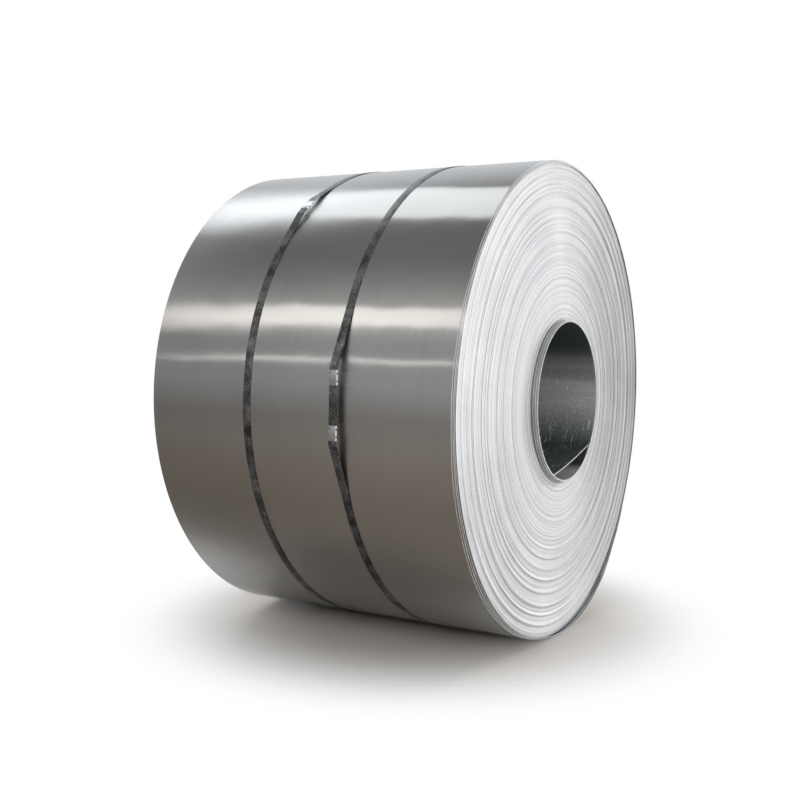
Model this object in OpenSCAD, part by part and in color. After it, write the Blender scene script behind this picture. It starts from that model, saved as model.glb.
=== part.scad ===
// Steel coil: one strip of sheet steel wound up tight, lying on its side,
// held by two steel straps with crimped seals. Sizes in mm.
// The bore runs along X, the end with the sprung-out inner turns is at +X,
// the seals face -Y and Z is up. The origin is on the bore axis.

/* [Coil] */
// Outside diameter of the winding
outside_diameter = 1830; // [1700:10:1950]
// Bore left by the winding mandrel
bore_diameter = 610; // [600:10:640]
// Width of the strip
strip_width = 1250; // [1000:10:1500]
// Thickness of the strip
strip_thickness = 1.5; // [1:0.1:2]
// Where the outer end of the strip lies, as an angle above level seen from the front
lap_end_angle = -150; // [-160:1:-110]

/* [Turns on the ends] */
// Packs of turns that show as rings on the ends
packs = 60; // [24:1:72]
// How far a pack stands out or in from its neighbours
stagger = 0.9; // [0.2:0.1:2]
// Height and spacing of the slow waves that the winding tension leaves
wave_height = 2.4; // [1:0.1:4]
wave_pitch = 44; // [30:1:60]
// How far the end falls from the bore to the rim
end_fall = 5; // [0:0.5:8]
// Steps in which the innermost turns have slid out
core_steps = 4; // [2:1:5]
// How far the innermost turn has slid out
core_slip = 24; // [10:1:40]
// How far the turns just inside the rim stand out
rim_ridge = 4; // [1:0.5:8]
// Steps in which the outermost turns sit back
rim_steps = 3; // [2:1:4]
// How far the outermost turn sits back
rim_slip = 11; // [8:1:16]
// Turns in each of these steps
turns_per_step = 2; // [2:1:3]

/* [Straps] */
// Width of the strap
strap_width = 32; // [19:1:40]
// Thickness of the strap
strap_thickness = 1; // [0.8:0.1:1.3]
// Strap positions along the bore, on the front
strap_left_x = -200; // [-240:1:-180]
strap_right_x = 185; // [150:1:240]
// How far the straps run askew towards +X at the back
strap_skew = 3; // [0:0.5:4]
// Gap left under straps and inside seals
seat_clearance = 0.3; // [0.2:0.05:0.4]

/* [Seals] */
// Length of a seal along the strap
seal_length = 51; // [45:1:57]
// Sheet thickness of a seal
seal_sheet = 1.2; // [1:0.1:1.5]
// Gap between the two flaps folded under a seal
flap_gap = 5; // [3:0.5:8]
// Size of a crimp nick along the seal and into its edge
nick_length = 6; // [4:0.5:8]
nick_depth = 4; // [3:0.5:5]
// Height of the seals on the front of the coil, as angles above level
seal_left_angle = 53; // [48:1:58]
seal_right_angle = 2.2; // [0:0.2:6]
// Distance between the two seals of the right strap
seal_pair_pitch = 186; // [170:2:200]
// How far the straps stand off the coil at their seals
lift_left = 12; // [10:1:16]
lift_right = 28; // [24:1:32]
// Strap left over beyond the seals: the long end under the left one,
// and the inner end over the upper right one with the angle at which it ends
loose_end = 310; // [200:10:400]
inner_end_angle = 16; // [14:0.5:18]

/* [Hidden] */
$fn = 360;

outer_r = outside_diameter / 2;
bore_r = bore_diameter / 2;
step_r = turns_per_step * strip_thickness;
face_in_r = bore_r + core_steps * step_r;
face_out_r = outer_r - (rim_steps + 1) * step_r;
strap_r = outer_r + seat_clearance;

// How far the straight runs of a strap, made longer, would cut into its round
strap_bend = 0.5;
// Straight lengths of the straps under their seals
flat_left = 2 * seal_length;
flat_right = seal_pair_pitch + 1.6 * seal_length;

// Edge radius number i of the packs on the main face, in uneven spacing
function pack_r(i) =
    face_in_r + (face_out_r - face_in_r) * (i + (i > 0 && i < packs ? 0.3 * sin(i * 97) : 0)) / packs;

// Slip along the bore of the turns at radius r: the fall, the waves, which die out inwards, and a stagger
function slip(r, i) =
    let (out = (r - face_in_r) / (face_out_r - face_in_r))
    -end_fall * out
    + wave_height * min(1, 0.35 + out) * cos(360 * (face_out_r - r) / wave_pitch + 180)
    + stagger * sin(i * 137.5);

// Rings of turns from the bore to the outside, each as [inner radius, outer radius, slip]
rings = concat(
    [for (i = [0 : core_steps - 1])
        [bore_r + i * step_r, bore_r + (i + 1) * step_r, core_slip * (core_steps - i) / core_steps]],
    [for (i = [0 : packs - 1]) [pack_r(i), pack_r(i + 1), slip((pack_r(i) + pack_r(i + 1)) / 2, i)]],
    [[face_out_r, face_out_r + step_r, rim_ridge - end_fall]],
    [for (i = [1 : rim_steps - 1])
        [face_out_r + i * step_r, face_out_r + (i + 1) * step_r,
         -end_fall - (rim_slip - end_fall) * i / rim_steps]]
);

// Turns a shape drawn flat so that its X runs along Y, its Y along Z and its Z along the bore
module along_bore() {
    rotate([90, 0, 90]) children();
}

// Points local +X out of the front of the coil at an angle above level
module at_front(angle) {
    rotate([0, 0, 180 - angle]) children();
}

// The winding: every ring keeps the strip width and is only slid along the bore
module coil() {
    last = len(rings) - 1;
    color([0.62, 0.63, 0.64])
    union() {
        rotate([0, 90, 0])
        rotate_extrude()
        polygon(concat(
            [for (i = [0 : last], e = [0, 1]) [rings[i][e], strip_width / 2 + rings[i][2]]],
            [for (i = [last : -1 : 0], e = [1, 0]) [rings[i][e], -strip_width / 2 + rings[i][2]]]
        ));
        outer_turns();
    }
}

// The outermost turns, which end in a step of one strip thickness where the strip ends
module outer_turns() {
    translate([-strip_width / 2 - rim_slip, 0, 0])
    along_bore() at_front(lap_end_angle)
    linear_extrude(strip_width)
    difference() {
        union() {
            intersection() {
                circle(outer_r);
                translate([-outer_r, -2 * outer_r]) square(2 * outer_r);
            }
            intersection() {
                translate([-strip_thickness / 2, 0]) circle(outer_r - strip_thickness / 2);
                translate([-outer_r, 0]) square(2 * outer_r);
            }
        }
        // One turn deeper than the step, so that it holds on to the turns below
        circle(outer_r - step_r - strip_thickness);
    }
}

// Angle at which a taut strap leaves its circle to reach a flat of half length half, lift above it
function leave_angle(lift, half) =
    atan(half / (strap_r + lift)) + acos(strap_r / sqrt(pow(strap_r + lift, 2) + half * half));

// Area inside a strap layer of radius r: the round coil with a straight raised stretch towards +X,
// whose runs leave the coil with a slight bend
module strap_outline(r, lift, half) {
    a = leave_angle(lift, half);
    h = r + lift;
    foot = r - strap_bend;
    y = (foot - h * cos(a)) / sin(a);
    circle(r);
    polygon([[0, 0], foot * [cos(a), -sin(a)], [h, -y], [h, y], foot * [cos(a), sin(a)]]);
}

// One layer of strap, number 0 on the coil and number 1 on top of it
module strap_layer(n, lift, half) {
    r = strap_r + n * strap_thickness;
    difference() {
        strap_outline(r + strap_thickness, lift, half);
        strap_outline(r, lift, half);
    }
}

// Section of a strap whose ends lap between from and to, measured along the flat
module strap_section(lift, half, from, to) {
    far = 1.2 * outer_r;
    strap_layer(0, lift, half);
    intersection() {
        strap_layer(1, lift, half);
        polygon([[0, 0], [far, far * from / outer_r], [far, far * to / outer_r]]);
    }
}

// Left-over inner end: it leaves the flat at y and runs down to the coil under the strap
module inner_end(lift, y, angle) {
    p = [strap_r + lift - strap_thickness / 2, y];
    q = (strap_r + strap_thickness) * [cos(angle), -sin(angle)];
    n = strap_thickness * [q[1] - p[1], p[0] - q[0]] / norm(q - p);
    polygon([p, q, q - n, p - n]);
}

// Band of strap width cut from a wide one, askew about the vertical
module band(x) {
    intersection() {
        translate([x, -outer_r, 0])
        rotate([0, 0, -strap_skew])
        cube([strap_width, 6 * outer_r, 4 * outer_r], center = true);
        translate([x - outer_r, 0, 0]) along_bore() linear_extrude(2 * outer_r) children();
    }
}

// Places what is drawn on the flat of a strap, +X outwards and Z across the strap
module on_flat(x, angle, lift, y) {
    r = strap_r + lift + strap_thickness;
    // Point of the flat's middle line, and how far the strap has run askew there
    back = outer_r - r * cos(angle) - y * sin(angle);
    translate([x + back * tan(strap_skew), 0, 0])
    along_bore() at_front(angle)
    translate([r, y, 0])
    rotate([-atan(tan(strap_skew) * sin(angle)), 0, 0])
    children();
}

// Crimp nicks on both edges of a seal, through the sheet into the strap
module nicks() {
    edge = strap_width / 2 + seat_clearance + seal_sheet;
    tall = 4 * (strap_thickness + seat_clearance + seal_sheet);
    for (side = [-1, 1], k = [-1, 1])
        translate([0, k * seal_length / 4, side * edge])
        cube([tall, nick_length, 2 * nick_depth], center = true);
}

// Sleeve of sheet folded round both layers of strap, its flaps meeting underneath
module seal() {
    hollow_t = 2 * strap_thickness + 2 * seat_clearance;
    hollow_w = strap_width + 2 * seat_clearance;
    color([0.70, 0.71, 0.72])
    difference() {
        cube([hollow_t + 2 * seal_sheet, seal_length, hollow_w + 2 * seal_sheet], center = true);
        cube([hollow_t, 2 * seal_length, hollow_w], center = true);
        translate([-hollow_t, 0, 0]) cube([hollow_t + seal_sheet, 2 * seal_length, flap_gap], center = true);
        nicks();
    }
}

// Left strap, one seal near the top and a long loose end below it
module strap_left() {
    color([0.16, 0.17, 0.20])
    difference() {
        band(strap_left_x) at_front(seal_left_angle)
        strap_section(lift_left, flat_left / 2, -0.65 * seal_length, loose_end);
        on_flat(strap_left_x, seal_left_angle, lift_left, 0) nicks();
    }
}

// Right strap, two seals at mid height with the lap between them
module strap_right() {
    lap = seal_pair_pitch / 2 + 0.65 * seal_length;
    color([0.16, 0.17, 0.20])
    difference() {
        band(strap_right_x) at_front(seal_right_angle) {
            strap_section(lift_right, flat_right / 2, -lap, lap);
            inner_end(lift_right, -lap, inner_end_angle);
        }
        for (k = [-1, 1])
            on_flat(strap_right_x, seal_right_angle, lift_right, k * seal_pair_pitch / 2) nicks();
    }
}

module seal_left() {
    on_flat(strap_left_x, seal_left_angle, lift_left, 0) seal();
}

module seal_right_upper() {
    on_flat(strap_right_x, seal_right_angle, lift_right, -seal_pair_pitch / 2) seal();
}

module seal_right_lower() {
    on_flat(strap_right_x, seal_right_angle, lift_right, seal_pair_pitch / 2) seal();
}

coil();
strap_left();
strap_right();
seal_left();
seal_right_upper();
seal_right_lower();
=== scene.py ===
import math
import random

import bpy
from mathutils import Matrix, Vector


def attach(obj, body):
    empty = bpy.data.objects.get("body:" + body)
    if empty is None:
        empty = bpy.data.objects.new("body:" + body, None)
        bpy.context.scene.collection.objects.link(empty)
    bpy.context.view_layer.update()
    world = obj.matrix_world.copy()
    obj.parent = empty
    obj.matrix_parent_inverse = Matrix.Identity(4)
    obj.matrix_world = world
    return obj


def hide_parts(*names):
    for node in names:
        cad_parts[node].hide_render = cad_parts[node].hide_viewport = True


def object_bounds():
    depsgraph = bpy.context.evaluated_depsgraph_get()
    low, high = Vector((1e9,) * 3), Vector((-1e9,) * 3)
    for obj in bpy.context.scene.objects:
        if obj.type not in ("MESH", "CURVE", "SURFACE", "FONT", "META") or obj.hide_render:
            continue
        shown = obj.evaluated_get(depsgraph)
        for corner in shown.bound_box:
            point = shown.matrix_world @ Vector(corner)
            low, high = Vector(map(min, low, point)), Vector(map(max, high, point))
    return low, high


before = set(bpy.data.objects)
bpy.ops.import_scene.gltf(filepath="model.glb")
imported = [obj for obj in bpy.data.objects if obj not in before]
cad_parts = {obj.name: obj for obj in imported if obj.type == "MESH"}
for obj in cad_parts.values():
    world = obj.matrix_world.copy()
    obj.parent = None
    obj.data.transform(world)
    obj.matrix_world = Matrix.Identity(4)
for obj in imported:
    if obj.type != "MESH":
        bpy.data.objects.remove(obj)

cad_box = [list(corner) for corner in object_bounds()]


# Bore: the innermost turns of the strip, dull and scuffed by the mandrel that they were wound on.
# They have slid out furthest on the right, and their slit edges are pale and matt.
half_width = 0.625
bore_r = 0.305
bore_wall = 0.004
core_slip = 0.024
edge_rounding = 0.0002
segments = 240


def new_finish(name):
    """A material with its node tree, the shader and the object coordinates that its patterns read."""
    material = bpy.data.materials.new(name)
    material.use_nodes = True
    nodes = material.node_tree.nodes
    place = nodes.new("ShaderNodeTexCoord").outputs["Object"]
    return material, nodes, material.node_tree.links.new, nodes["Principled BSDF"], place


def mottle(scale, detail, roughness=0.5, at=None):
    """An even noise over the object, or over other coordinates."""
    noise = nodes.new("ShaderNodeTexNoise")
    noise.inputs["Scale"].default_value = scale
    noise.inputs["Detail"].default_value = detail
    noise.inputs["Roughness"].default_value = roughness
    join(place if at is None else at, noise.inputs["Vector"])
    return noise.outputs["Fac"]


def streaks(scale, detail, roughness=0.5):
    """A noise with a scale of its own along the bore and across it."""
    stretch = nodes.new("ShaderNodeMapping")
    stretch.inputs["Scale"].default_value = scale
    join(place, stretch.inputs["Vector"])
    return mottle(1, detail, roughness, stretch.outputs["Vector"])


def blend(first, second, share):
    """A pattern with a share of a second one mixed in."""
    mixed = nodes.new("ShaderNodeMix")
    mixed.inputs["Factor"].default_value = share
    join(first, mixed.inputs["A"])
    join(second, mixed.inputs["B"])
    return mixed.outputs["Result"]


def tones(pattern, *stops):
    """A colour that runs through stops of (position, red, green, blue) as the pattern rises."""
    ramp = nodes.new("ShaderNodeValToRGB")
    elements = ramp.color_ramp.elements
    elements.remove(elements[1])
    for k, (position, red, green, blue) in enumerate(stops):
        element = elements[0] if k == 0 else elements.new(position)
        element.position = position
        element.color = (red, green, blue, 1)
    join(pattern, ramp.inputs["Fac"])
    return ramp.outputs["Color"]


def rise(value, low, high, start=0.0, end=1.0, easing="LINEAR"):
    """A number that goes from start to end while the value goes from low to high."""
    span = nodes.new("ShaderNodeMapRange")
    span.interpolation_type = easing
    for socket, number in (("From Min", low), ("From Max", high), ("To Min", start), ("To Max", end)):
        span.inputs[socket].default_value = number
    join(value, span.inputs["Value"])
    return span.outputs["Result"]


def bump(height, strength, distance, over=None):
    """A normal raised by a pattern, over another bump's normal where one is given."""
    relief = nodes.new("ShaderNodeBump")
    relief.inputs["Strength"].default_value = strength
    relief.inputs["Distance"].default_value = distance
    join(height, relief.inputs["Height"])
    if over is not None:
        join(over, relief.inputs["Normal"])
    return relief.outputs["Normal"]


def layer(below, mask, low, high, colour):
    """A colour laid over what is below where the mask goes from low to high."""
    laid = nodes.new("ShaderNodeMix")
    laid.data_type = "RGBA"
    join(rise(mask, low, high), laid.inputs["Factor"])
    join(below, laid.inputs["A"])
    laid.inputs["B"].default_value = (*colour, 1)
    return laid.outputs["Result"]


# Slit edges of the sheet: pale and matt, with a tone that changes from turn to turn
slit_edges, nodes, join, shader, place = new_finish("slit_edges")
across = nodes.new("ShaderNodeVectorMath")
across.operation = "MULTIPLY"
across.inputs[1].default_value = (0, 1, 1)
join(place, across.inputs[0])
radius = nodes.new("ShaderNodeVectorMath")
radius.operation = "LENGTH"
join(across.outputs[0], radius.inputs[0])
turn_tone = nodes.new("ShaderNodeTexNoise")
turn_tone.noise_dimensions = "1D"
turn_tone.inputs["Scale"].default_value = 75
turn_tone.inputs["Detail"].default_value = 7
turn_tone.inputs["Roughness"].default_value = 0.85
join(radius.outputs["Value"], turn_tone.inputs["W"])
join(tones(blend(turn_tone.outputs["Fac"], mottle(4, 6), 0.22),
           (0.34, 0.52, 0.53, 0.55), (0.58, 0.87, 0.875, 0.89)), shader.inputs["Base Color"])
join(bump(turn_tone.outputs["Fac"], 0.5, 0.0012), shader.inputs["Normal"])
shader.inputs["Metallic"].default_value = 0.1
shader.inputs["Roughness"].default_value = 0.5
shader.inputs["Specular IOR Level"].default_value = 0.3

# Dull wound face with pale bands along the bore, scratches along the strip and bright specks, with
# painted shade: darker above and below the middle of the bore, so that the specks show only in its
# lower half, and a painted pale band of light at the very bottom
scuffed_bore_with_painted_shade, nodes, join, shader, place = new_finish("scuffed_bore_with_painted_shade")
axes = nodes.new("ShaderNodeSeparateXYZ")
join(place, axes.inputs["Vector"])
height_in_bore = axes.outputs["Z"]
bore_tone = tones(streaks((380, 380, 380), 3), (0.3, 0.20, 0.21, 0.215), (0.72, 0.52, 0.53, 0.54))
pale_bands = streaks((0.7, 17, 17), 2)
bore_tone = layer(bore_tone, pale_bands, 0.52, 0.80, (0.62, 0.63, 0.64))
# Painted shade: the wall darkens below the middle of the bore
painted_shade_below = (-0.03, -0.20)
bore_tone = layer(bore_tone, height_in_bore, *painted_shade_below, (0.050, 0.059, 0.060))
# Painted light: a pale band at the very bottom of the bore, where light from the right end falls under
# the inner end
painted_light_bottom = (-0.266, -0.288)
bore_tone = layer(bore_tone, height_in_bore, *painted_light_bottom, (0.58, 0.59, 0.61))
scratches = streaks((240, 13, 13), 2)
bore_tone = layer(bore_tone, scratches, 0.65, 0.72, (0.72, 0.73, 0.74))
specks = streaks((230, 230, 230), 1)
bore_tone = layer(bore_tone, specks, 0.70, 0.74, (0.85, 0.86, 0.86))
# Painted shade: the wall darkens above the middle of the bore, where it faces down
painted_shade_above = (0.03, 0.20)
bore_tone = layer(bore_tone, height_in_bore, *painted_shade_above, (0.052, 0.063, 0.064))
join(bore_tone, shader.inputs["Base Color"])
shader.inputs["Metallic"].default_value = 0.5
shader.inputs["Roughness"].default_value = 0.36

# Fresh face of the sheet, as it shows where turns have slid out: brighter than the handled outside
fresh_face, nodes, join, shader, place = new_finish("fresh_face")
join(tones(streaks((220, 6, 6), 4), (0.35, 0.30, 0.31, 0.32), (0.65, 0.42, 0.43, 0.44)),
     shader.inputs["Base Color"])
shader.inputs["Metallic"].default_value = 0.8
shader.inputs["Roughness"].default_value = 0.3


def wrap(name, r, thickness, left_edge, right_edge, winding=None):
    """A turn of sheet round the bore axis, with edges at the x that the edge functions give.

    They take an angle in degrees above level at the front.
    A winding function shifts an angle and gives it a radius of its own.
    """
    bpy.ops.object.select_all(action="DESELECT")
    bpy.ops.mesh.primitive_cylinder_add(vertices=segments, radius=r, depth=2 * half_width,
                                        end_fill_type="NOTHING", rotation=(0, math.pi / 2, 0))
    piece = bpy.context.object
    piece.name = name
    bpy.ops.object.transform_apply(location=True, rotation=True, scale=True)
    for vertex in piece.data.vertices:
        angle = math.degrees(math.atan2(vertex.co.z, -vertex.co.y))
        vertex.co.x = right_edge(angle) if vertex.co.x > 0 else left_edge(angle)
        if winding:
            angle, own_r = winding(angle)
            vertex.co.y = -own_r * math.cos(math.radians(angle))
            vertex.co.z = own_r * math.sin(math.radians(angle))
    bpy.ops.object.mode_set(mode="EDIT")
    bpy.ops.mesh.select_all(action="SELECT")
    bpy.ops.mesh.normals_make_consistent(inside=False)
    bpy.ops.object.mode_set(mode="OBJECT")
    wall = piece.modifiers.new("wall", "SOLIDIFY")
    wall.thickness = thickness
    wall.offset = -1
    rounding = piece.modifiers.new("rounding", "BEVEL")
    rounding.width = edge_rounding
    rounding.segments = 2
    rounding.limit_method = "ANGLE"
    for modifier in ("wall", "rounding"):
        bpy.ops.object.modifier_apply(modifier=modifier)
    bpy.ops.object.shade_smooth_by_angle(angle=math.radians(35))
    return piece


def dress(piece, face_finish):
    """Gives a piece of sheet its face finish, and the slit edges, which look along the bore, theirs."""
    piece.data.materials.append(face_finish)
    piece.data.materials.append(slit_edges)
    for face in piece.data.polygons:
        face.material_index = 1 if abs(face.normal.x) > 0.6 else 0


bore_turn = wrap("bore_turn", bore_r + bore_wall, bore_wall,
                 lambda angle: -half_width + core_slip, lambda angle: half_width + core_slip)
dress(bore_turn, scuffed_bore_with_painted_shade)
bore_turn.data.materials.append(fresh_face)
for face in bore_turn.data.polygons:
    looks_out = face.normal.y * face.center.y + face.normal.z * face.center.z > 0.2 * bore_r
    if looks_out:
        face.material_index = 2
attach(bore_turn, "root")
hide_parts("coil")


# Inner end of the strip: the last of the same sheet, sprung off the bore wall low down at the back.
# It runs across the bore as a slack chord and touches the wall again at the front.
inner_end_x = 0.022
inner_end_width = 1.244
inner_end_thickness = 0.0038
inner_end_sag = 0.0065
inner_end_steps = 40


def turn_out(piece):
    """Turns an open shell's faces outwards if they look in."""
    first = piece.data.polygons[0]
    if first.normal.dot(first.center) < 0:
        bpy.ops.object.mode_set(mode="EDIT")
        bpy.ops.mesh.select_all(action="SELECT")
        bpy.ops.mesh.flip_normals()
        bpy.ops.object.mode_set(mode="OBJECT")


def ribbon(name, stations, width, thickness):
    """A band of sheet extruded along stations of its middle line, thickened away from the bore axis."""
    bpy.ops.object.select_all(action="DESELECT")
    bpy.ops.mesh.primitive_plane_add(size=1)
    piece = bpy.context.object
    piece.name = name
    bpy.ops.object.mode_set(mode="EDIT")
    bpy.ops.mesh.select_mode(type="VERT")
    bpy.ops.mesh.select_all(action="DESELECT")
    bpy.ops.object.mode_set(mode="OBJECT")
    for vertex in piece.data.vertices:
        vertex.select = vertex.co.y > 0
    bpy.ops.object.mode_set(mode="EDIT")
    bpy.ops.mesh.delete(type="VERT")
    bpy.ops.object.mode_set(mode="OBJECT")
    for vertex in piece.data.vertices:
        side = 0.5 if vertex.co.x > 0 else -0.5
        vertex.co = (stations[0][0] + side * width, stations[0][1], stations[0][2])
    bpy.ops.object.mode_set(mode="EDIT")
    bpy.ops.mesh.select_mode(type="EDGE")
    bpy.ops.mesh.select_all(action="SELECT")
    for here, there in zip(stations, stations[1:]):
        bpy.ops.mesh.extrude_edges_move(
            TRANSFORM_OT_translate={"value": tuple(b - a for a, b in zip(here, there))})
    bpy.ops.mesh.select_all(action="SELECT")
    bpy.ops.mesh.remove_doubles(threshold=0.00002)
    bpy.ops.mesh.normals_make_consistent(inside=False)
    bpy.ops.object.mode_set(mode="OBJECT")
    turn_out(piece)
    wall = piece.modifiers.new("wall", "SOLIDIFY")
    wall.thickness = thickness
    wall.offset = 1
    rounding = piece.modifiers.new("rounding", "BEVEL")
    rounding.width = 0.2 * thickness
    rounding.segments = 2
    rounding.limit_method = "ANGLE"
    rounding.angle_limit = math.radians(50)
    for modifier in ("wall", "rounding"):
        bpy.ops.object.modifier_apply(modifier=modifier)
    bpy.ops.object.shade_smooth_by_angle(angle=math.radians(35))
    return piece


stations = []
for k in range(inner_end_steps + 1):
    along = k / inner_end_steps
    sag = inner_end_sag * math.sin(math.pi * along)
    stations.append((inner_end_x, 0.2340 - 0.3728 * along, -0.1947 - 0.0759 * along - sag))
inner_end = ribbon("inner_end", stations, inner_end_width, inner_end_thickness)
# The bore finish's painted shade makes the inner end dark, low in the bore
dress(inner_end, scuffed_bore_with_painted_shade)
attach(inner_end, "root")


# Right end of the winding: the slit edges of some four hundred turns of sheet steel, pale and matt.
# The tension has pushed packs of turns a few millimetres proud, and others stand a hair in or out.
# The turns next to the bore have slid out in steps, and their bright faces show between the edges.
face_in_r = 0.317
face_out_r = 0.903
ridge_r = 0.906
rim_fall = 0.005
end_depth = 0.060
core_slips = (0.016, 0.008)
# Packs of turns that stand proud: radius, half width and height, in millimetres
proud_packs = (
    (324, 4, 1.4), (342, 5, 1.6), (361, 4, 0.8), (380, 5, 1.8), (402, 4, 0.9), (427, 5, 1.3),
    (444, 4, 0.9), (461, 4, 1.9), (478, 4, 1.6), (495, 3, 0.8), (510, 4, 1.3), (522, 4, 1.2),
    (536, 4, 1.5), (552, 4, 0.8), (569, 6, 2.0), (586, 4, 1.0), (605, 12, 3.2), (647, 13, 3.4),
    (687, 12, 3.2), (735, 13, 3.5), (785, 15, 4.2), (821, 9, 3.6), (856, 14, 3.8), (887, 7, 2.0))


def end_slip(r):
    """How far the turns at radius r have slid along the bore: a slow fall to the rim, and the packs."""
    slip = -rim_fall * (r - face_in_r) / (face_out_r - face_in_r)
    for middle, half, height in proud_packs:
        off = (1000 * r - middle) / half
        if abs(off) < 1:
            # The inner side of a pack climbs slowly and its outer side drops off sooner
            lean = off - 0.35 * (1 - off * off)
            slip += 0.0005 * height * (1 + math.cos(math.pi * lean))
    return slip


def turn_edges(seed):
    """Slips of the turns from the bore to the rim, as (slip, radius) points of a lathe outline."""
    chance = random.Random(seed)
    points = []
    r = bore_r + 0.0042
    for slip in core_slips:
        # Each step shows three edges with fine slots between them
        for stand in (0, 0.0010, 0.0003):
            foot, top, outside = slip - 0.004, slip + stand, r + 0.0012
            points += [(foot, r), (top - edge_rounding, r), (top, r + edge_rounding),
                       (top, r + 0.0010), (top - edge_rounding, outside), (foot, outside)]
            r += 0.0013
    # Then rings of two or three turns each, which stand a hair in or out
    r = face_in_r
    while r < face_out_r:
        following = min(r + chance.uniform(0.0022, 0.0048), face_out_r)
        stand = chance.gauss(0, 0.0004)
        stand += chance.uniform(-0.0012, 0.0012) if chance.random() < 0.18 else 0
        points += [(end_slip(r) + stand, r), (end_slip(following - 0.00005) + stand, following)]
        r = following
    points += [(-0.0012, face_out_r + 0.0001), (-0.0010, face_out_r + 0.0003),
               (-0.0010, ridge_r - 0.0003), (-0.0012, ridge_r - 0.0001)]
    return points


turns = turn_edges(11)


def lathe(name, outline):
    """A closed outline of (x, radius) points drawn from one vertex and spun round the bore axis."""
    bpy.ops.object.select_all(action="DESELECT")
    bpy.ops.mesh.primitive_plane_add(size=0.01)
    piece = bpy.context.object
    piece.name = name
    bpy.ops.object.mode_set(mode="EDIT")
    bpy.ops.mesh.select_mode(type="VERT")
    bpy.ops.mesh.select_all(action="SELECT")
    bpy.ops.mesh.merge(type="CENTER")
    bpy.ops.transform.translate(value=(outline[0][0], 0, outline[0][1]))
    for here, there in zip(outline, outline[1:] + outline[:1]):
        bpy.ops.mesh.extrude_vertices_move(
            TRANSFORM_OT_translate={"value": (there[0] - here[0], 0, there[1] - here[1])})
    bpy.ops.mesh.select_all(action="SELECT")
    bpy.ops.mesh.remove_doubles(threshold=0.00002)
    bpy.ops.mesh.spin(steps=segments, angle=2 * math.pi, center=(0, 0, 0), axis=(1, 0, 0))
    bpy.ops.mesh.select_all(action="SELECT")
    bpy.ops.mesh.remove_doubles(threshold=0.00002)
    bpy.ops.mesh.normals_make_consistent(inside=False)
    bpy.ops.object.mode_set(mode="OBJECT")
    bpy.ops.object.shade_smooth_by_angle(angle=math.radians(22))
    return piece


def end_outline(x, inward):
    """The outline of the end whose turns lie about x, closed a step inward from there."""
    return ([(x + inward, turns[0][1])] + [(x + slip, r) for slip, r in turns]
            + [(x + inward, turns[-1][1])])


# Satin cold-rolled face of the sheet, its grain along the strip
rolled_face, nodes, join, shader, place = new_finish("rolled_face")
grain = streaks((160, 1.6, 1.6), 6, 0.65)
oil_film = mottle(3.2, 5)
sheen = blend(grain, oil_film, 0.5)
join(tones(sheen, (0.3, 0.315, 0.315, 0.31), (0.7, 0.355, 0.355, 0.35)), shader.inputs["Base Color"])
join(rise(sheen, 0.3, 0.7, 0.19, 0.24), shader.inputs["Roughness"])
slow_waves = bump(mottle(3.0, 2), 0.8, 0.004)
join(bump(grain, 0.04, 0.0003, slow_waves), shader.inputs["Normal"])
round_the_coil = nodes.new("ShaderNodeTangent")
round_the_coil.direction_type = "RADIAL"
round_the_coil.axis = "X"
join(round_the_coil.outputs["Tangent"], shader.inputs["Tangent"])
shader.inputs["Metallic"].default_value = 1
shader.inputs["Anisotropic"].default_value = 1
shader.inputs["Anisotropic Rotation"].default_value = 0.25

end_right = lathe("end_right", end_outline(half_width, -end_depth))
dress(end_right, rolled_face)
end_right.data.materials.append(fresh_face)
for face in end_right.data.polygons:
    by_the_bore = math.hypot(face.center.y, face.center.z) < face_in_r - 0.0003
    if face.material_index == 0 and by_the_bore:
        face.material_index = 2
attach(end_right, "root")
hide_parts("coil")


# Left end of the winding: the other slit edges of the same turns. Each turn keeps the strip width,
# so what stands out on the right is sunk in here, and the bore turns lie deepest.
end_left = lathe("end_left", end_outline(-half_width, end_depth))
dress(end_left, rolled_face)
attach(end_left, "root")
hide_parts("coil")


# Outer turns: the same sheet drawn round the coil, a little loose, so that dark slots show between
# the edges. They lie back from the right end by a few millimetres each at the front, and the last
# has crept out to the right under the back. The strip ends low at the back.
outer_r = 0.915
outer_wall = 0.0028
strip_thickness = 0.0015
strip_end = -150


def edge_line(points):
    """The x of a turn's edge, in metres, for an angle, from (angle, millimetres) points all round."""
    def edge(angle):
        for (angle_a, x_a), (angle_b, x_b) in zip(points, points[1:]):
            if angle_a <= angle <= angle_b:
                along = (angle - angle_a) / (angle_b - angle_a)
                along = along * along * (3 - 2 * along)
                return 0.001 * (x_a + (x_b - x_a) * along)
        return 0.001 * points[0][1]
    return edge


def last_turn(angle):
    """The last turn's winding: its radius drops by a strip thickness in a step where the strip ends."""
    past = (strip_end - angle) % 360
    if past < 0.01 or past > 180:
        return angle, outer_r
    if past < 360 / segments + 0.01:
        angle, past = strip_end - 0.1, 0.1
    return angle, outer_r - strip_thickness * (1 + math.cos(math.radians(past))) / 2


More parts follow.
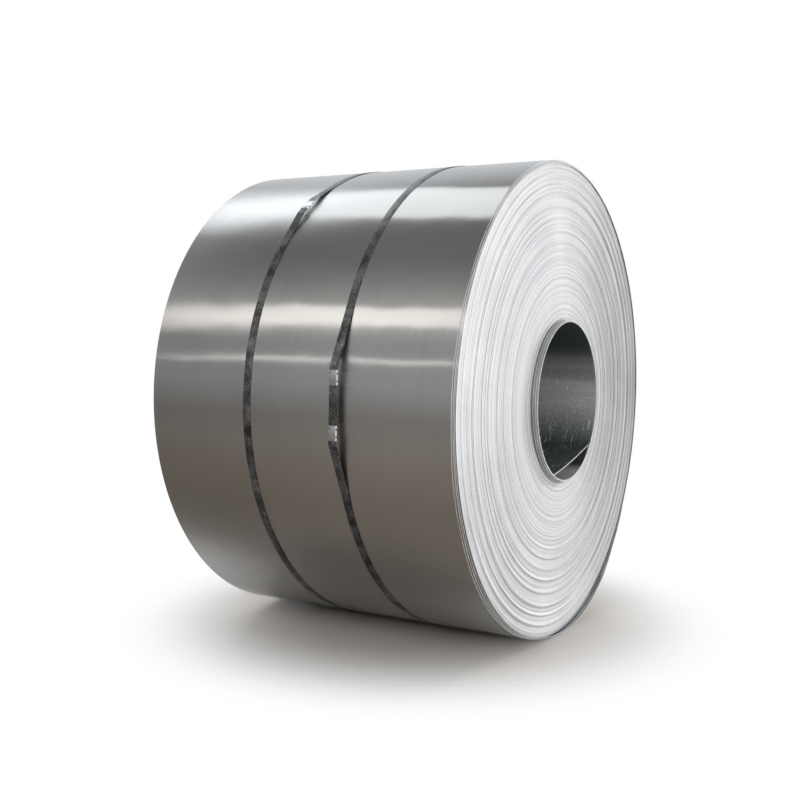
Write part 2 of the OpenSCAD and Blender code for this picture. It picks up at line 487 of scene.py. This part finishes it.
# Each turn's radius, how far it lies out past the left end, its winding and its right edge
for name, r, left_out, winding, points in (
        ("outer_turn_3", 0.9078, 0.008, None,
         ((-180, 620), (-135, 621), (-90, 620), (-50, 616),
          (0, 619), (60, 622), (120, 622), (180, 620))),
        ("outer_turn_2", 0.9114, 0.008, None,
         ((-180, 617), (-135, 620), (-90, 616), (-50, 609),
          (0, 616), (60, 621), (120, 621), (180, 617))),
        ("outer_turn_1", outer_r, 0.011, last_turn,
         ((-180, 616), (-150, 621), (-135, 626), (-118, 637), (-102, 642), (-92, 640), (-80, 618),
          (-65, 604), (-45, 602), (-20, 607), (0, 611), (40, 615), (75, 620), (120, 620),
          (180, 616)))):
    outer_turn = wrap(name, r, outer_wall, lambda angle: -half_width - left_out,
                      edge_line(points), winding)
    dress(outer_turn, rolled_face)
    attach(outer_turn, "root")
    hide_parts("coil")


# Straps: blued and waxed steel strapping, drawn tight round the coil a little askew.
# Each is raised on a straight stretch at its seals, where its two ends lap.
strap_r = 0.9153
strap_width = 0.032
strap_thickness = 0.001
strap_skew = math.radians(3)
strap_bend = 0.0005
# Each strap's x on the front, the angle of its seals above level, how far it stands off there,
# and half the length of its raised stretch
left_run = (-0.200, 53, 0.012, 0.051)
right_run = (0.185, 2.2, 0.028, 0.1338)


def on_strap(run, out, down):
    """The point of a strap's middle line that lies out from the bore axis and down from its seals."""
    x, seal_angle = run[:2]
    middle = math.radians(seal_angle)
    y = -math.cos(middle) * out - math.sin(middle) * down
    z = math.sin(middle) * out - math.cos(middle) * down
    return x + (y + outer_r) * math.tan(strap_skew), y, z


def strap_stations(run, laps_below, low=-180.0, high=180.0):
    """Points of a strap layer's inner face, from an angle above its seals to one below them."""
    lift, half = run[2:]
    r = strap_r + laps_below * strap_thickness
    leave = (math.atan(half / (strap_r + lift))
             + math.acos(strap_r / math.hypot(strap_r + lift, half)))
    foot = r - strap_bend
    height = r + lift
    flat_end = (foot - height * math.cos(leave)) / math.sin(leave)
    corner = math.degrees(math.atan2(flat_end, height))
    touch = math.degrees(leave - math.acos(foot / r))
    count = int((high - low) / 0.9)
    angles = sorted({low + (high - low) * k / count for k in range(count + 1)}
                    | {a for a in (-touch, -corner, corner, touch) if low < a < high})
    points = []
    for angle in angles:
        a = math.radians(angle)
        if abs(angle) <= corner:
            distance = height / math.cos(a)
        elif abs(angle) <= touch:
            distance = foot / math.cos(abs(a) - leave)
        else:
            distance = r
        points.append(on_strap(run, distance * math.cos(a), distance * math.sin(a)))
    return points


# Blued steel, rubbed paler in stretches and flecked
blued_strap, nodes, join, shader, place = new_finish("blued_strap")
rubbed = mottle(16, 3)
flecks = mottle(130, 6, 0.7)
join(tones(blend(rubbed, flecks, 0.5), (0.41, 0.018, 0.019, 0.019), (0.50, 0.072, 0.075, 0.075),
           (0.60, 0.16, 0.166, 0.168)), shader.inputs["Base Color"])
shader.inputs["Metallic"].default_value = 0.6
shader.inputs["Roughness"].default_value = 0.4

# The right strap's inner end runs on from its flat down to the coil
tail_top = on_strap(right_run, strap_r + right_run[2] - strap_thickness / 2, -0.126)
tail_foot = on_strap(right_run, 0.8808, -0.2526)
tail = [tuple(a + (b - a) * k / 8 for a, b in zip(tail_top, tail_foot)) for k in range(9)]
for name, node, stations in (
        ("strap_left_loop", "strap_left", strap_stations(left_run, 0)),
        ("strap_left_lap", "strap_left", strap_stations(left_run, 1, -2.1, 18.7)),
        ("strap_right_loop", "strap_right", strap_stations(right_run, 0)),
        ("strap_right_lap", "strap_right", strap_stations(right_run, 1, -7.85, 7.85)),
        ("strap_right_tail", "strap_right", tail)):
    strap = ribbon(name, stations, strap_width, strap_thickness)
    strap.data.materials.append(blued_strap)
    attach(strap, "root")
    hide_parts(node)


# Seals: sleeves of zinc-plated sheet folded round both layers of strap and crimped,
# with two pairs of nicks cut through their edges into the strap.
seal_length = 0.051
seal_width = 0.035
seal_height = 0.005
seal_sheet = 0.0012
# Width of the pale band on each seal's +X side, a painted highlight
highlight_band_width = 0.0048
fold_r = 0.0023
nick_size = (0.03, 0.006, 0.008)
seal_pair_half = 0.093

# Zinc plating with its spangle
plated_seal, nodes, join, shader, place = new_finish("plated_seal")
spangle = nodes.new("ShaderNodeTexVoronoi")
spangle.inputs["Scale"].default_value = 420
join(place, spangle.inputs["Vector"])
join(tones(spangle.outputs["Color"], (0.0, 0.30, 0.31, 0.32), (1.0, 0.48, 0.49, 0.50)),
     shader.inputs["Base Color"])
shader.inputs["Metallic"].default_value = 1
shader.inputs["Roughness"].default_value = 0.3

# Zinc rubbed bright along the folded edges, and a painted highlight: the pale band is wider on the side
# toward +X, where the lamps fall
worn_fold_painted_highlight, nodes, join, shader, place = new_finish("worn_fold_painted_highlight")
join(tones(mottle(160, 4), (0.35, 0.84, 0.85, 0.86), (0.6, 0.97, 0.97, 0.97)),
     shader.inputs["Base Color"])
shader.inputs["Metallic"].default_value = 0.7
shader.inputs["Roughness"].default_value = 0.3


def crimped_seal(name, run, down):
    """A seal made flat at the origin, with X outwards and Y along the strap, then put on the strap."""
    bpy.ops.object.select_all(action="DESELECT")
    bpy.ops.mesh.primitive_cube_add(size=1, scale=(seal_height, seal_length, seal_width))
    piece = bpy.context.object
    piece.name = name
    bpy.ops.object.transform_apply(location=True, rotation=True, scale=True)
    bpy.ops.object.mode_set(mode="EDIT")
    bpy.ops.mesh.select_mode(type="FACE")
    bpy.ops.mesh.select_all(action="DESELECT")
    bpy.ops.object.mode_set(mode="OBJECT")
    for face in piece.data.polygons:
        face.select = abs(face.normal.y) > 0.9
    bpy.ops.object.mode_set(mode="EDIT")
    bpy.ops.mesh.delete(type="FACE")
    bpy.ops.mesh.select_mode(type="EDGE")
    bpy.ops.mesh.select_all(action="DESELECT")
    bpy.ops.object.mode_set(mode="OBJECT")
    for edge in piece.data.edges:
        a, b = (piece.data.vertices[i].co for i in edge.vertices)
        edge.select = abs(a.y - b.y) > 0.5 * seal_length
    bpy.ops.object.mode_set(mode="EDIT")
    bpy.ops.mesh.bevel(offset=fold_r, segments=4, affect="EDGES")
    bpy.ops.mesh.select_all(action="SELECT")
    bpy.ops.mesh.bisect(plane_co=(0, 0, seal_width / 2 - highlight_band_width), plane_no=(0, 0, 1))
    bpy.ops.mesh.select_all(action="SELECT")
    bpy.ops.mesh.normals_make_consistent(inside=False)
    bpy.ops.object.mode_set(mode="OBJECT")
    turn_out(piece)
    sheet = piece.modifiers.new("sheet", "SOLIDIFY")
    sheet.thickness = seal_sheet
    sheet.offset = -1
    bpy.ops.object.modifier_apply(modifier="sheet")
    for side in (-1, 1):
        for along in (-0.25, 0.25):
            bpy.ops.object.select_all(action="DESELECT")
            bpy.ops.mesh.primitive_cube_add(size=1, scale=nick_size,
                                            location=(0, along * seal_length, side * seal_width / 2))
            nick = bpy.context.object
            bpy.ops.object.transform_apply(location=True, rotation=True, scale=True)
            bpy.ops.object.select_all(action="DESELECT")
            piece.select_set(True)
            bpy.context.view_layer.objects.active = piece
            cut = piece.modifiers.new("nick", "BOOLEAN")
            cut.operation = "DIFFERENCE"
            cut.object = nick
            cut.solver = "EXACT"
            bpy.ops.object.modifier_apply(modifier="nick")
            bpy.data.objects.remove(nick)
    rounding = piece.modifiers.new("rounding", "BEVEL")
    rounding.width = 0.0003
    rounding.segments = 2
    rounding.limit_method = "ANGLE"
    rounding.angle_limit = math.radians(40)
    bpy.ops.object.modifier_apply(modifier="rounding")
    bpy.ops.object.shade_smooth_by_angle(angle=math.radians(40))
    piece.data.materials.append(plated_seal)
    piece.data.materials.append(worn_fold_painted_highlight)
    # The folds and a wider band on the side toward +X take the bright finish; the wider band is a
    # painted highlight
    for face in piece.data.polygons:
        on_fold_or_highlight = face.normal.z < -0.3 or face.center.z > seal_width / 2 - highlight_band_width
        face.material_index = 1 if on_fold_or_highlight else 0
    angle = math.radians(run[1])
    tilt = math.atan(math.tan(strap_skew) * math.sin(angle))
    middle = on_strap(run, strap_r + run[2] + strap_thickness, down)
    piece.matrix_world = (
        Matrix.Translation(middle)
        @ Matrix.Rotation(math.pi / 2, 4, "Z") @ Matrix.Rotation(math.pi / 2, 4, "X")
        @ Matrix.Rotation(math.pi - angle, 4, "Z") @ Matrix.Rotation(-tilt, 4, "X"))
    bpy.ops.object.transform_apply(location=True, rotation=True, scale=True)
    return piece


for name, run, down in (("seal_left", left_run, 0),
                        ("seal_right_upper", right_run, -seal_pair_half),
                        ("seal_right_lower", right_run, seal_pair_half)):
    seal = crimped_seal(name + "_sleeve", run, down)
    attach(seal, "root")
    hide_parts(name)


# Floor, lights and camera: a darker floor round the coil, a painted shadow pool that fades out into a
# pale surround, a long overhead lamp, two long lamps in front, a lamp for each end, and a far panel
# that rakes across the right end.
floor_r = 14
floor_solid_to = 0.95
floor_clear_from = 1.6
bpy.ops.object.select_all(action="DESELECT")
bpy.ops.mesh.primitive_circle_add(vertices=128, radius=floor_r, fill_type="NGON",
                                  location=(0, 0, min(cad_box[0][2], cad_box[1][2])))
floor = bpy.context.object
floor.name = "floor"
bpy.ops.object.transform_apply(location=True, rotation=True, scale=True)
floor_painted_shadow, nodes, join, shader, place = new_finish("floor_painted_shadow")
# Mid grey, darker than the surround: a painted shadow pool round the coil, which clears with distance
shader.inputs["Base Color"].default_value = (0.52, 0.485, 0.45, 1)
shader.inputs["Roughness"].default_value = 0.9
shader.inputs["Specular IOR Level"].default_value = 0.1
distance = nodes.new("ShaderNodeVectorMath")
distance.operation = "LENGTH"
join(place, distance.inputs[0])
clear = nodes.new("ShaderNodeBsdfTransparent")
mixed = nodes.new("ShaderNodeMixShader")
join(rise(distance.outputs["Value"], floor_solid_to, floor_clear_from, easing="SMOOTHERSTEP"),
     mixed.inputs["Fac"])
join(shader.outputs["BSDF"], mixed.inputs[1])
join(clear.outputs["BSDF"], mixed.inputs[2])
join(mixed.outputs["Shader"], nodes["Material Output"].inputs["Surface"])
floor.data.materials.append(floor_painted_shadow)

world = bpy.data.worlds.new("surround")
bpy.context.scene.world = world
world.use_nodes = True
nodes, join = world.node_tree.nodes, world.node_tree.links.new
direction = nodes.new("ShaderNodeTexCoord").outputs["Generated"]
# Height from straight down to straight up, counted mostly round the coil,
# so that the bands of light lie along it
flat = nodes.new("ShaderNodeVectorMath")
flat.operation = "MULTIPLY"
flat.inputs[1].default_value = (0.5, 1, 1)
join(direction, flat.inputs[0])
level = nodes.new("ShaderNodeVectorMath")
level.operation = "NORMALIZE"
join(flat.outputs["Vector"], level.inputs[0])
split = nodes.new("ShaderNodeSeparateXYZ")
join(level.outputs["Vector"], split.inputs["Vector"])
height = rise(split.outputs["Z"], -1, 1)
front_sky = tones(
    height,
    (0.0, 0.385, 0.335, 0.285), (0.11, 0.385, 0.335, 0.285), (0.25, 0.47, 0.41, 0.355),
    (0.32, 0.51, 0.46, 0.41), (0.44, 0.49, 0.46, 0.43), (0.50, 0.60, 0.59, 0.58),
    (0.565, 0.72, 0.72, 0.72), (0.73, 0.75, 0.75, 0.75), (0.79, 1.0, 0.99, 0.97),
    (0.85, 0.95, 0.94, 0.92), (0.91, 0.58, 0.58, 0.57), (0.955, 0.38, 0.38, 0.38),
    (1.0, 0.33, 0.33, 0.33))
back_sky = tones(
    height,
    (0.44, 1.0, 1.0, 1.0), (0.65, 1.0, 1.0, 1.0), (0.77, 1.04, 1.09, 1.14), (0.84, 1.04, 1.09, 1.14),
    (0.90, 0.9, 0.92, 0.94), (0.95, 0.45, 0.45, 0.45), (1.0, 0.33, 0.33, 0.33))
# The front is dimmer far to the left
leftwards = nodes.new("ShaderNodeSeparateXYZ")
join(direction, leftwards.inputs["Vector"])
dimmed_front = nodes.new("ShaderNodeVectorMath")
dimmed_front.operation = "SCALE"
join(front_sky, dimmed_front.inputs[0])
join(rise(leftwards.outputs["X"], -0.74, -0.44, 0.72, 1.0), dimmed_front.inputs["Scale"])
surround = nodes.new("ShaderNodeMix")
surround.data_type = "RGBA"
join(rise(split.outputs["Y"], 0.0, 0.45, easing="SMOOTHSTEP"), surround.inputs["Factor"])
join(dimmed_front.outputs["Vector"], surround.inputs["A"])
join(back_sky, surround.inputs["B"])
join(surround.outputs["Result"], nodes["Background"].inputs["Color"])
# The surround shows at its full level to the camera, in mirror reflections and through what is clear,
# and lights matt surfaces less
rays = nodes.new("ShaderNodeLightPath")
shown = nodes.new("ShaderNodeMath")
shown.operation = "ADD"
join(rays.outputs["Is Camera Ray"], shown.inputs[0])
join(rays.outputs["Is Glossy Ray"], shown.inputs[1])
seen = nodes.new("ShaderNodeMath")
seen.operation = "ADD"
join(shown.outputs["Value"], seen.inputs[0])
join(rays.outputs["Is Transmission Ray"], seen.inputs[1])
join(rise(seen.outputs["Value"], 0, 1, 0.28, 1.0), nodes["Background"].inputs["Strength"])


def long_lamp(name, start, end, width, level, colour, aim):
    """A rectangular lamp between two points, facing its aim, of a level that counts white as 1."""
    start, end, aim = Vector(start), Vector(end), Vector(aim)
    middle = (start + end) / 2
    along = (end - start).normalized()
    back = middle - aim
    back = (back - back.dot(along) * along).normalized()
    data = bpy.data.lights.new(name, "AREA")
    data.shape = "RECTANGLE"
    data.size = (end - start).length
    data.size_y = width
    data.energy = level * math.pi * data.size * data.size_y
    data.color = colour
    lamp = bpy.data.objects.new(name, data)
    bpy.context.scene.collection.objects.link(lamp)
    lamp.matrix_world = (Matrix.Translation(middle)
                         @ Matrix((along, back.cross(along), back)).transposed().to_4x4())
    lamp.visible_camera = False
    return lamp


white = (1, 1, 1)
long_lamp("overhead_lamp", (-9.9, 4.3, 6.7), (1.3, 0.7, 10.6), 3.6, 2.05,
          (0.94, 0.97, 1), (0, -0.5, 0.75))
long_lamp("front_lamp", (-12.0, -4.4, 4.6), (1.2, -9.6, 7.1), 1.5, 1.85,
          (1, 0.95, 0.90), (0, -0.85, 0.3))
long_lamp("thin_lamp", (-10.0, -6.8, 2.44), (1.1, -11.3, 3.74), 0.10, 5.2,
          (1, 0.98, 0.95), (0, -0.9, 0.2))
end_lamp = long_lamp("end_lamp", (2.59, -3.65, 0.9), (3.61, -2.55, 0.9), 1.4, 1.95,
                     white, (0.6, -0.30, 0.20))
left_lamp = long_lamp("left_lamp", (-3.55, 2.29, 0.9), (-2.45, 3.31, 0.9), 1.4, 1.6,
                      white, (-0.62, 0.2, 0.1))
for lamp in (end_lamp, left_lamp):
    lamp.data.spread = math.radians(50)
raking_panel = long_lamp("raking_panel", (2.5, 13.6, 1.6), (6.1, 12.8, 1.6), 4.2, 66.0,
                         white, (0.6, 0, 0))
# These three light the matt ends and stay out of the reflections in the rolled face
for lamp in (end_lamp, left_lamp, raking_panel):
    lamp.visible_glossy = False

camera_data = bpy.data.cameras.new("camera")
camera_data.sensor_width = 36
camera_data.lens = 49.29
camera = bpy.data.objects.new("camera", camera_data)
bpy.context.scene.collection.objects.link(camera)
camera.location = (2.1961, -3.9745, 0.3682)
camera.rotation_euler = (math.radians(90 - 4.934), 0, math.radians(30.065))
bpy.context.scene.camera = camera
bpy.context.scene.view_settings.view_transform = "Standard"
